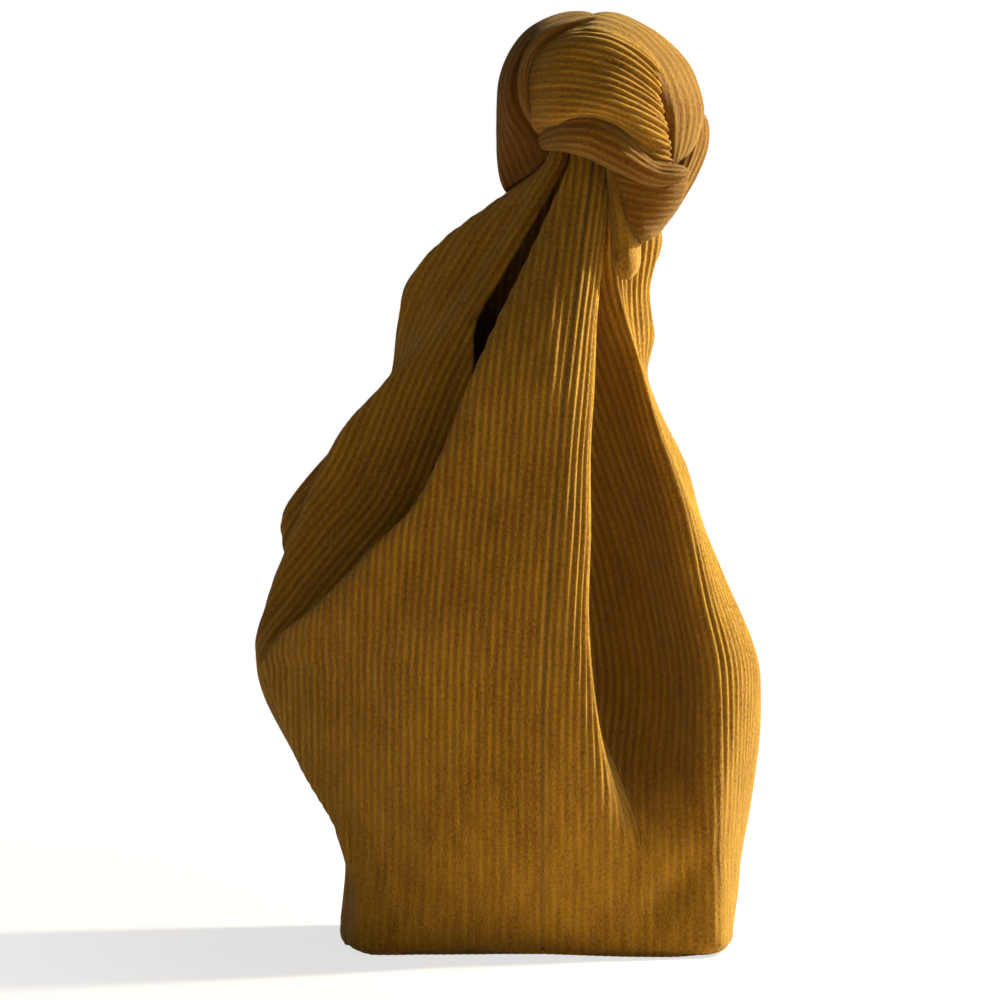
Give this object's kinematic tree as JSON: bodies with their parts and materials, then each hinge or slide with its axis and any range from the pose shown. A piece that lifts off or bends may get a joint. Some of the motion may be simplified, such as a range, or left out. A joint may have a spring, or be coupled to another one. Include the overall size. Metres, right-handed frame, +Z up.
{
  "type": "pouch clutch",
  "caption": "Velvet corduroy pouch clutch with a flat boxed base, folded-in sides and straps tied in a big knot at the top.",
  "frame": {"origin": "middle of the base's underside, where the pouch stands", "axes": "+Z up, -Y to the front, +X to the right as seen from the front"},
  "size_m": [0.2022, 0.1211, 0.373],
  "materials": {
    "corduroy": "mustard velvet corduroy, wide wale",
    "lining": "plain brown cotton lining",
    "board": "matt base board"
  },
  "bodies": {
    "bag": {"front_panel_left": "corduroy", "front_lining_left": "lining", "side_panel_left": "corduroy", "side_lining_left": "lining", "back_panel_left": "corduroy", "back_lining_left": "lining", "back_panel_right": "corduroy", "back_lining_right": "lining", "side_panel_right": "corduroy", "side_lining_right": "lining", "front_panel_right": "corduroy", "front_lining_right": "lining", "base_panel": "corduroy", "base_board": "board", "base_lining": "lining", "gathered_neck": "corduroy"},
    "knot": {"wrap_band": "corduroy", "back_band": "corduroy", "knot_crown": "corduroy", "crown_edge": "corduroy", "right_lobe": "corduroy", "left_roll": "corduroy", "crown_back": "corduroy", "band_flap": "corduroy", "back_strap": "corduroy", "knot_core": "corduroy"},
    "tail": {"strap_tail": "corduroy"}
  },
  "joints": [
    {"name": "knot_nod", "type": "hinge", "parent": "bag", "child": "knot", "pos_m": [0.02, -0.003, 0.302], "axis": [1, 0, 0], "range_deg": [-20, 20], "stiffness_Nm_per_rad": 0.15},
    {"name": "tail_swing", "type": "hinge", "parent": "knot", "child": "tail", "pos_m": [0.035, -0.028, 0.281], "axis": [-1, 0, 0], "range_deg": [0, 45]}
  ]
}
